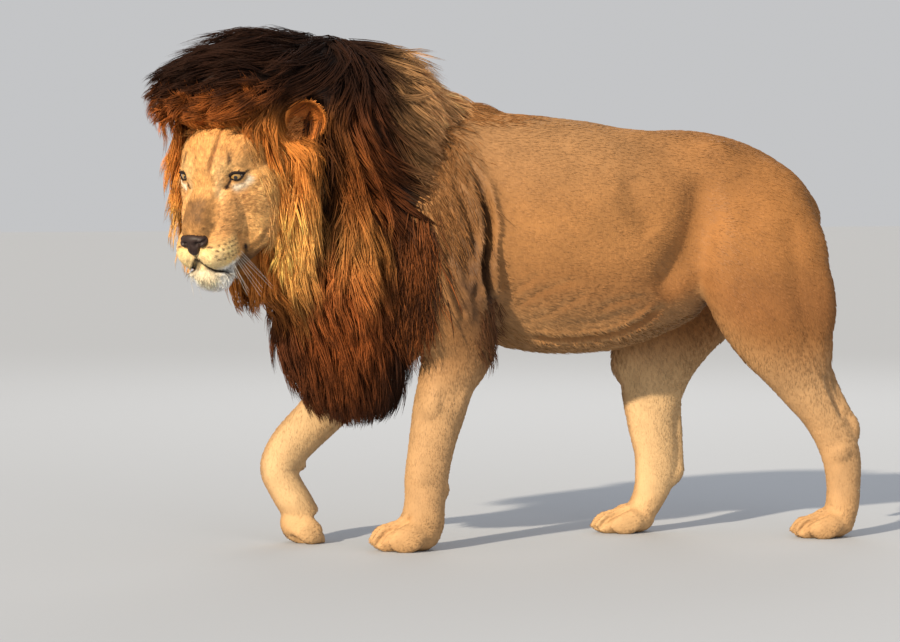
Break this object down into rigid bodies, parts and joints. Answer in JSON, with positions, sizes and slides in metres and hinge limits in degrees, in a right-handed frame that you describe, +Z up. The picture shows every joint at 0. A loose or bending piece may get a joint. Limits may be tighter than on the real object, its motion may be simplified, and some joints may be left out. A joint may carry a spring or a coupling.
{
  "type": "lion",
  "caption": "Life-size still model of a male lion walking with its head turned to its left, standing on its soles.",
  "frame": {"origin": "on the floor under the middle of the whole model's footprint", "axes": "+Z up; the lion walks towards -X; its left side is towards -Y"},
  "size_m": [1.8832, 0.6104, 1.3012],
  "materials": {
    "tan_coat": "short dense tan fur, matte",
    "pale_coat": "short dense pale tan fur, matte",
    "gold_mane": "long golden mane hair",
    "brown_mane": "long dark brown mane hair",
    "nose_skin": "bare grained nose skin",
    "eye": "wet amber eye"
  },
  "bodies": {
    "root": {"head": "tan_coat", "lower_jaw": "tan_coat", "ear_left": "tan_coat", "ear_right": "tan_coat", "upper_foreleg_left": "tan_coat", "upper_foreleg_right": "tan_coat", "thigh_left": "tan_coat", "thigh_right": "tan_coat", "chest": "tan_coat", "abdomen": "tan_coat", "rump": "tan_coat", "tail": "tan_coat", "forearm_left": "pale_coat", "forearm_right": "pale_coat", "forepaw_left": "pale_coat", "forepaw_right": "pale_coat", "shank_left": "pale_coat", "shank_right": "pale_coat", "metatarsus_left": "pale_coat", "metatarsus_right": "pale_coat", "hind_paw_left": "pale_coat", "hind_paw_right": "pale_coat", "mane_crown": "gold_mane", "mane_neck": "brown_mane", "mane_chest": "brown_mane", "tail_tuft": "brown_mane", "nose": "nose_skin", "eye_left": "eye", "eye_right": "eye"}
  },
  "joints": []
}
